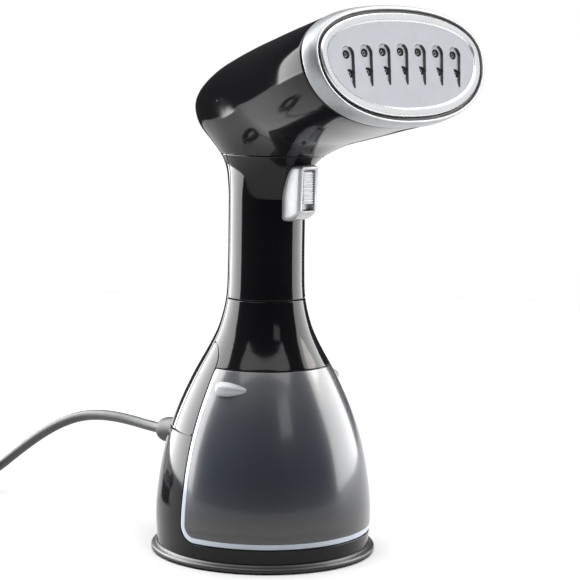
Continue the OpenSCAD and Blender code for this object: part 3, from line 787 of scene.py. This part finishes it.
# ------------------------------------------ soleplate, gasket and trim ring
SLOT_PITCH = 12.2
SLOT_FAN = 0.7  # degrees by which each slot leans more than the one before
SLOT_SAG = 0.17  # how fast the row of slots drops towards its ends
SLOT_TOP = 6.1  # height of a slot's round end
SLOT_R, SLOT_TIP_R, SLOT_LENGTH = 3.95, 0.5, 16.2
HOLES = (0.0, 9.2)  # places of a slot's steam holes along it
HOLE_R = 2.15
FACE = -0.85  # the plate's face lies this far behind the front of its rim
PLATE_HALF, PLATE_TOP, PLATE_LOW = 54.3, 25.2, -26.4


def drop_distance(x, y):
    """Signed distance to a drop: a round end at the origin, tapering along y to a small tip."""
    b = (SLOT_R - SLOT_TIP_R) / SLOT_LENGTH
    c = math.sqrt(1 - b * b)
    along = -b * x + c * y
    flank_d = c * x + b * y - SLOT_R
    tip_d = np.hypot(x, y - SLOT_LENGTH) - SLOT_TIP_R
    return np.where(along < 0, np.hypot(x, y) - SLOT_R, np.where(along > c * SLOT_LENGTH, tip_d, flank_d))


def slot_distance(u, v):
    """Signed distance to the nearest of the seven slots, and distance to the nearest steam hole's centre."""
    best = np.full(u.shape, 1e3)
    hole = np.full(u.shape, 1e3)
    for k in range(-3, 4):
        a = math.radians(-SLOT_FAN * k)
        du, dv = u - k * SLOT_PITCH, v + SLOT_SAG * k * k
        x = np.abs(du * math.cos(a) + dv * math.sin(a))
        y = SLOT_TOP - (-du * math.sin(a) + dv * math.cos(a))
        best = np.minimum(best, drop_distance(x, y))
        for centre in HOLES:
            hole = np.minimum(hole, np.hypot(x, y - centre))
    return best, hole


def plate_height(u, v):
    """The plate's face: sunken slots with a fine raised lip, and in each steam hole a raised button."""
    d, hole = slot_distance(u, v)
    sink = np.clip(-d / 0.8 + 0.15, 0, 1)
    sink = sink * sink * (3 - 2 * sink)
    lip = 0.12 * np.exp(-((d - 0.25) / 0.3) ** 2)
    h = FACE + lip - 1.25 * sink
    h -= 1.3 * np.clip((HOLE_R - hole) / 0.3, 0, 1)
    h += 0.9 * np.clip((1.15 - hole) / 0.2, 0, 1)
    h -= 1.3 * np.clip((0.6 - hole) / 0.2, 0, 1)
    return h


def build_plate():
    """The plate's face, and which of its polygons get painted shade: the slot walls that face left and the
    recesses of the steam holes.
    """
    step = 0.2
    us = np.arange(-50.4, 50.41, step)
    vs = np.arange(-23.4, 22.8, step)
    u, v = np.meshgrid(us, vs)
    verts = on_plate(np.stack([u, v], -1), plate_height(u, v)).reshape(-1, 3)
    half = np.where(v > PLATE_MID, 22.2 - PLATE_MID, PLATE_MID + 23.4)
    inside = (np.abs(u / 51.3) ** SQUARE + np.abs((v - PLATE_MID) / half) ** SQUARE < 1).reshape(-1)
    faces = [f for f in grid_faces(len(vs), len(us)) if inside[list(f)].all()]
    obj = new_object("plate_face", verts, faces)
    bm = bmesh.new()
    bm.from_mesh(obj.data)
    loose = [v for v in bm.verts if not v.link_faces]
    bmesh.ops.delete(bm, geom=loose, context="VERTS")
    bmesh.ops.recalc_face_normals(bm, faces=bm.faces)
    bm.to_mesh(obj.data)
    bm.free()
    polygons = obj.data.polygons
    if polygons[len(polygons) // 2].normal.dot(Vector(NORMAL)) < 0:
        obj.data.flip_normals()
    # painted shade: slot walls that face left and the recesses of the steam holes are picked out for a
    # near-black finish
    facing = np.array([tuple(f.normal) for f in polygons]) @ ACROSS
    where = np.array([tuple(f.center) for f in polygons]) / MM - PLATE
    _, hole = slot_distance(where @ ACROSS, where @ UP)
    shade_mask = (facing < -0.35) | ((hole < 2.1) & (hole > 1.1)) | (hole < 0.55)
    return obj, shade_mask


def plate_rings(section):
    """The plate's outline grown by each of the section's distances, at its heights."""
    return [on_plate(egg(PLATE_HALF + g, PLATE_TOP + g, PLATE_LOW - g), h) for g, h in section]


RIM = [(-4.6, -0.86), (-4.3, -0.78), (-4.0, -0.5), (-3.6, -0.18), (-3.0, -0.02), (-2.2, 0.0), (-1.2, -0.02),
       (-0.6, -0.12), (-0.2, -0.4), (0.0, -0.9), (0.0, -2.6), (-1.5, -3.9), (-5.5, -3.9), (-5.6, -1.1)]
GASKET = [(0.15, -3.2), (0.2, -1.9), (0.9, -1.75), (1.7, -1.9), (1.75, -3.2)]
# half width, top, bottom and height of the trim ring's section, from the inside round to the inside
TRIM = [(56.0, 26.9, -28.2, -2.4), (56.0, 26.9, -28.2, -1.0), (56.1, 27.0, -28.3, -0.75),
        (56.4, 27.3, -28.6, -0.6), (57.3, 28.3, -29.3, -0.7), (57.7, 28.7, -29.5, -1.0),
        (58.3, 29.2, -29.75, -2.2), (58.9, 29.8, -30.0, -4.5), (59.2, 30.2, -30.15, -6.6),
        (59.3, 30.4, -30.2, -8.0), (59.3, 30.4, -30.2, -8.6), (59.05, 30.15, -29.95, -8.9),
        (58.0, 29.1, -28.9, -8.9), (57.0, 28.1, -28.5, -6.5)]
plate_face, plate_painted_shade = build_plate()
place(plate_face, "plate_field", "housing", "soleplate")
# painted shade on the plate: the picked polygons get the near-black finish
plate_face.data.materials.append(MATS["slot_painted_shade"])
plate_face.data.polygons.foreach_set("material_index", plate_painted_shade.astype(np.int32))
plate_rim = rings_to_mesh("plate_rim", plate_rings(RIM), close=True, sharp=60)
place(plate_rim, "polished_plate", "housing", "soleplate")
place(rings_to_mesh("plate_gasket_skin", plate_rings(GASKET), close=True, sharp=60),
      "silicone_black", "housing", "plate_gasket")
rings = [on_plate(egg(half, top, low), h) for half, top, low, h in TRIM]
place(rings_to_mesh("trim_ring_skin", rings, close=True, sharp=50), "silver_paint", "housing", "trim_ring")

# ------------------------------------------ switch
SWITCH_Z, SWITCH_Y = 190.8, -31.5
# the housing from its foot to its face and into the slider's opening: y, width, top, bottom, corner radius
HOUSING = ((-17.5, 13.0, 205.8, 176.2, 2.2), (-22, 13.0, 205.7, 176.4, 2.2), (-26.5, 12.9, 205.5, 177.6, 2.2),
           (-29.4, 12.8, 205.3, 179.4, 2.0), (-30.7, 12.5, 205.0, 180.6, 1.8),
           (-31.3, 11.8, 204.5, 181.4, 1.4), (-31.5, 11.0, 204.0, 182.0, 1.0),
           (-31.5, 8.5, 203.3, 181.4, 0.8), (-31.4, 8.15, 203.1, 181.1, 0.7), (-31.1, 8.0, 203.0, 181.0, 0.7),
           (-28.2, 7.9, 203.0, 181.0, 0.7))
SLIDER_HALF = 3.65
RIB_PITCH = 1.25


def build_switch_housing():
    """Raised silver housing whose upper part leans out."""
    rings = []
    for y, w, top, low, radius in HOUSING:
        flat = box_ring(w, top - low, radius)
        height = flat[:, 1] + (top + low) / 2
        lean = 1.6 * np.clip((height - 196) / 9, 0, 1) ** 2 * (y < -24)
        rings.append(np.stack([flat[:, 0], y - lean, height], -1))
    return rings_to_mesh("switch_housing_skin", rings, sharp=50)


def build_slider():
    """Thumb slide with thirteen ribs between grooves."""
    low, high = SWITCH_Z - 5.3, SWITCH_Z + 11.7
    zs = np.linspace(low, high, 240)
    right = np.array([0, 1.3, 2.6, 3.2, 3.45, 3.6, SLIDER_HALF])
    x, zz = np.meshgrid(np.concatenate([-right[:0:-1], right]), zs)
    wave = (zz - low) / RIB_PITCH % 1
    rib = np.clip((0.5 - np.abs(wave - 0.5)) / 0.16 - 0.9, 0, 1)
    rib = rib * rib * (3 - 2 * rib)
    edge = np.clip((SLIDER_HALF - np.abs(x)) / 0.45, 0, 1)
    y = SWITCH_Y - 0.1 + 0.55 * (1 - rib) + 0.4 * (1 - np.sqrt(1 - (1 - edge) ** 2))
    y += 0.4 * np.clip(1 - (zz - low) / 0.4, 0, 1) + 0.4 * np.clip(1 - (high - zz) / 0.4, 0, 1)
    front = np.stack([x, y, zz], -1)
    back = front.copy()
    back[..., 1] = -27.9
    verts = np.concatenate([front.reshape(-1, 3), back.reshape(-1, 3)])
    return clean(new_object("slider_skin", verts, slab_faces(*x.shape)), sharp=50)


place(build_switch_housing(), "switch_silver", "housing", "switch_housing")
place(build_slider(), "switch_silver", "slider", "switch_slider")

# ------------------------------------------ tank release tabs
TAB_ANGLE, TAB_Z, TAB_R = 68.0, 90.5, 37.2
TAB_LENGTH = 16.6


def build_tab(side, name):
    """Push tab: a ribbed oval at its front end, tapering to a point at the back."""
    rings = []
    way = compass(np.array(side * TAB_ANGLE))
    along = np.cross(AXIS_Z, way) * -side
    q = np.linspace(0, 2 * math.pi, 40, endpoint=False)
    c, s = oval(np.cos(q), 3.2), oval(np.sin(q), 2.4)
    for t in np.concatenate([np.linspace(0, 0.06, 5), np.linspace(0.1, 0.94, 24), np.linspace(0.96, 1, 5)]):
        place_along = TAB_LENGTH * (0.5 - t)
        high = 3.7 * (1 - max(t - 0.35, 0) ** 1.6 * 1.35)
        out = 5.8 * (1 - max(t - 0.3, 0) ** 1.5 * 1.25) - 1.2 * (1 - min(t / 0.25, 1)) ** 2
        end = math.sqrt(max(1 - (1 - min(t / 0.1, 1)) ** 2, 0.02))
        tail = math.sqrt(max(1 - (1 - min((1 - t) / 0.06, 1)) ** 2, 0.02))
        high *= end * (0.6 + 0.4 * tail)
        out *= 0.75 + 0.25 * end * tail
        ripple = 0.16 * math.cos(2 * math.pi * place_along / 1.5) if t < 0.5 else 0
        radial = np.where(c > 0, c * (out + ripple), c * 4.0)
        point = np.outer(TAB_R + radial, way) + along * place_along
        point[:, 2] += TAB_Z + high * s
        rings.append(point)
    return rings_to_mesh(name, rings, sharp=60)


place(build_tab(1, "tab_left_skin"), "smoke_tab", "tab_left", "release_tab_left")
place(build_tab(-1, "tab_right_skin"), "smoke_tab", "tab_right", "release_tab_right")

# ------------------------------------------ strain relief, cord and plug
def build_strain_relief():
    """A collar in the body's wall and a tapered sleeve with a rounded end."""
    start = np.array([0, 52.4, 56.0])
    way = np.array([0, 79.0, 51.6]) - start
    run = float(np.linalg.norm(way))
    collar = [(0.5, -6), (7.2, -6), (7.5, -3), (7.5, 2), (7.4, 4), (7.1, 4.3), (7.1, 5), (7.3, 5.3)]
    sleeve = [(7.3 - 0.3 * t, 5.3 + (run - 4.3) * t) for t in np.linspace(0.05, 1, 12)]
    turn = np.radians([12, 25, 40, 55, 68, 78])
    end = [(2.6 + 4.4 * math.cos(a), run + 1 + 6.5 * math.sin(a)) for a in turn]
    inner = [(3.2, run + 7.2), (3.05, run + 6.0), (0.5, run + 5.9)]
    return lathe("strain_relief_skin", collar + sleeve + end + inner, start, way, 72)


place(build_strain_relief(), "silicone_black", "housing", "strain_relief")


def smooth_line(points):
    """Cuts the corners of a line three times over."""
    line = np.array(points, float)
    for _ in range(3):
        fine = np.empty((2 * len(line), 3))
        fine[0], fine[-1] = line[0], line[-1]
        fine[1:-1:2] = 0.75 * line[:-1] + 0.25 * line[1:]
        fine[2:-1:2] = 0.25 * line[:-1] + 0.75 * line[1:]
        line = fine
    return line


def even_line(line, step):
    """The same line with its points evenly spaced."""
    along = np.concatenate([[0], np.cumsum(np.linalg.norm(np.diff(line, axis=0), axis=1))])
    at = np.linspace(0, along[-1], int(along[-1] / step) + 1)
    return np.stack([np.interp(at, along, line[:, k]) for k in range(3)], -1)


def build_cord():
    """The cord as a curve with a round section, and the line that it follows."""
    line = even_line(smooth_line(cord_points()), 2.5)
    curve = bpy.data.curves.new("mains_cord", "CURVE")
    curve.dimensions = "3D"
    curve.bevel_depth = CORD_D / 2 * MM
    curve.bevel_resolution = 5
    curve.use_fill_caps = True
    spline = curve.splines.new("POLY")
    spline.points.add(len(line) - 1)
    for point, p in zip(spline.points, line):
        point.co = (*(p * MM), 1)
    obj = bpy.data.objects.new("mains_cord", curve)
    bpy.context.scene.collection.objects.link(obj)
    return obj, line


cord, cord_line = build_cord()
place(cord, "cord_black", "housing", "cord", "cord_coil")


def build_tie():
    """Hook-and-loop strap round the coil."""
    a = math.radians(300)
    out = np.array([math.cos(a), math.sin(a), 0])
    along = np.array([-math.sin(a), math.cos(a), 0])
    centre = COIL + np.array([0, 0, 6.3]) + out * LANES[1]
    rings = []
    for w, g in ((-6, 0.1), (-5.8, 0.75), (-5.4, 0.95), (5.4, 0.95), (5.8, 0.75), (6, 0.1)):
        flat = box_ring(18.9 + 2 * g, 19.1 + 2 * g, 3.0 + g)
        rings.append(centre + along * w + flat[:, :1] * out + flat[:, 1:] * np.array(AXIS_Z))
    return rings_to_mesh("cord_tie_skin", rings, capped=False, sharp=70)


tie = place(build_tie(), "satin_black", "housing", "cord_tie")


# the plug's block from its face backwards: y, half width, half height
PLUG_BLOCK = ((-30, 11.2, 7.2), (-29.9, 11.9, 7.8), (-29.4, 12.4, 8.3), (-27, 12.5, 8.4), (-22, 12.3, 8.3),
              (-18, 11.6, 8.1), (-14, 10, 7.6), (-10, 8.6, 7.0))
BLADE = ((-29, 1.5, 6.4), (-45.8, 1.5, 6.4), (-46.8, 1.3, 5.8), (-47.4, 0.8, 4.8))  # y, width, height
BLADE_X = 6.35


def build_plug():
    """Two-blade plug: a rounded block towards -Y and a ribbed tail where the cord comes in."""
    rings = []
    n = 64
    q = np.linspace(0, 2 * math.pi, n, endpoint=False)
    c, s = oval(np.cos(q), 3), oval(np.sin(q), 3)
    for y, half_width, half_height in PLUG_BLOCK:
        rings.append(PLUG + np.stack([half_width * c, np.full(n, y), half_height * s], -1))
    for t in np.linspace(0.12, 1, 34):
        rib = 0.35 * math.cos(2 * math.pi * t * 7) if 0.3 < t < 0.95 else 0
        r = 7.4 - 3.1 * t + rib
        y = -16.5 + 31.5 * t
        rings.append(PLUG + np.stack([r * np.cos(q), np.full(n, y), r * np.sin(q) - 5 * t], -1))
    return rings_to_mesh("plug_skin", rings, sharp=40)


plug = place(build_plug(), "silicone_black", "housing", "plug_body")


def build_blades():
    """The plug's two flat blades, as one piece."""
    verts, faces = [], []
    n = 32
    for x in (-BLADE_X, BLADE_X):
        first = len(verts)
        for y, w, h in BLADE:
            flat = box_ring(w, h, min(w, h) * 0.3, n)
            verts += list(PLUG + np.stack([flat[:, 0] + x, np.full(n, y), flat[:, 1]], -1))
        faces += grid_faces(len(BLADE), n, wrap=True, first=first)
        faces += [tuple(range(first, first + n))[::-1], tuple(range(len(verts) - n, len(verts)))]
    return clean(new_object("plug_blades_skin", verts, faces))


blades = place(build_blades(), "blade_brass", "housing", "plug_blades")

# ------------------------------------------ inside parts keep their shapes
INSIDE = {
    "cast_alloy": ["steam_chamber", "chamber_cover"],
    "heater_steel": ["heating_element", "pump_plunger"],
    "screw_steel": ["thermostat", "base_screws", "cover_screws", "valve_spring", "tab_springs"],
    "ceramic_white": ["thermal_fuse"],
    "satin_black": ["slide_switch", "base_plate", "pump_mount", "cord_clamp", "filler_cap"],
    "board_green": ["control_board"],
    "clear_tube": ["steam_pipe", "inlet_tube", "outlet_tube"],
    "wire_blue": ["wire_harness"],
    "silicone_black": ["foot_pads"],
    "white_plastic": ["pump_body", "inlet_port", "valve_cage", "terminal_block"],
    "copper_coil": ["pump_coil"],
    "red_seal": ["cap_seal", "valve_poppet"],
}
for finish, nodes in INSIDE.items():
    for node in nodes:
        item = frame["nodes"][node]
        for obj in item if isinstance(item, (list, tuple)) else [item]:
            paint(obj, finish)


# ------------------------------------------ floor, light and background
def panel(name, bearing, distance, height, w, h, radiance, look=(0, 0, 0.15), colour=(1, 1, 1)):
    """Softbox in metres, at a bearing round the object counted from the camera's side towards its left."""
    a = math.radians(AZ - 90 - bearing)
    at = Vector((math.cos(a) * distance, math.sin(a) * distance, height))
    data = bpy.data.lights.new(name, "AREA")
    data.shape = "RECTANGLE"
    data.size = w
    data.size_y = h
    data.energy = radiance * math.pi * w * h
    data.color = colour
    obj = bpy.data.objects.new(name, data)
    obj.location = at
    obj.rotation_euler = (Vector(look) - at).to_track_quat("-Z", "Y").to_euler()
    bpy.context.scene.collection.objects.link(obj)
    return obj


left_box = panel("left_box", 113, 0.80, 0.60, 1.02, 1.16, 11.0, look=(0, 0, 0.60))
head_streak = panel("head_streak", 103, 0.80, 0.62, 0.54, 1.20, 7.0, look=(0, 0, 0.62))
right_box = panel("right_box", -110, 0.85, 0.52, 0.80, 1.0, 7.0, look=(0, 0, 0.52))
head_right = panel("head_right", -94, 0.85, 0.52, 0.66, 1.0, 5.0, look=(0, 0, 0.52))
warm_box = panel("warm_box", -104, 1.0, 0.80, 0.40, 0.42, 8.0, colour=(1, 0.94, 0.86))
plate_card = panel("plate_card", -84, 1.5, 0.75, 2.2, 1.6, 0.85, look=(0, 0, 0.3))
panel("top_box", 0, 0.05, 1.9, 3.0, 3.0, 3.5)
panel("front_fill", -30, 2.4, 1.6, 0.7, 0.7, 2.0)


def build_floor():
    """Round pale floor with a faint grain."""
    verts = [(0, 0, 0)]
    faces = []
    sides = 96
    for ring, r in enumerate((300, 700, 1100)):
        for k in range(sides):
            a = 2 * math.pi * k / sides
            verts.append((r * math.cos(a), r * math.sin(a), 0))
            here, after = 1 + ring * sides + k, 1 + ring * sides + (k + 1) % sides
            if ring == 0:
                faces.append((0, here, after))
            else:
                faces.append((here - sides, here, after, after - sides))
    return new_object("floor", verts, faces)


floor = build_floor()
paint(floor, "floor")

scene = bpy.context.scene
# the side lights reach only these groups of pieces, so the floor keeps an even tone
HEAD_NAMES = {"head_skin", "trim_ring_skin", "switch_housing_skin", "slider_skin"}
head = [o for o in scene.objects if o.name in HEAD_NAMES]
plate = [plate_face, plate_rim]
others = [o for o in scene.objects if o.type in {"MESH", "CURVE"} and o not in head + plate + [floor]]
for lamp, shown in ((left_box, others), (head_streak, head), (head_right, head), (right_box, others),
                    (warm_box, head + others), (plate_card, plate)):
    group = bpy.data.collections.new("lit_by_" + lamp.name)
    for obj in shown:
        group.objects.link(obj)
    lamp.light_linking.receiver_collection = group
scene.view_settings.view_transform = "Standard"
world = bpy.data.worlds.new("studio")
scene.world = world
world.use_nodes = True
tree = world.node_tree
background = tree.nodes["Background"]
background.inputs["Color"].default_value = (1, 1, 1, 1)
path = tree.nodes.new("ShaderNodeLightPath")
# white where the camera sees it, dim where it lights the object
strength = spread_value(tree, path.outputs["Is Camera Ray"], 0.05, 1.0)
tree.links.new(strength, background.inputs["Strength"])
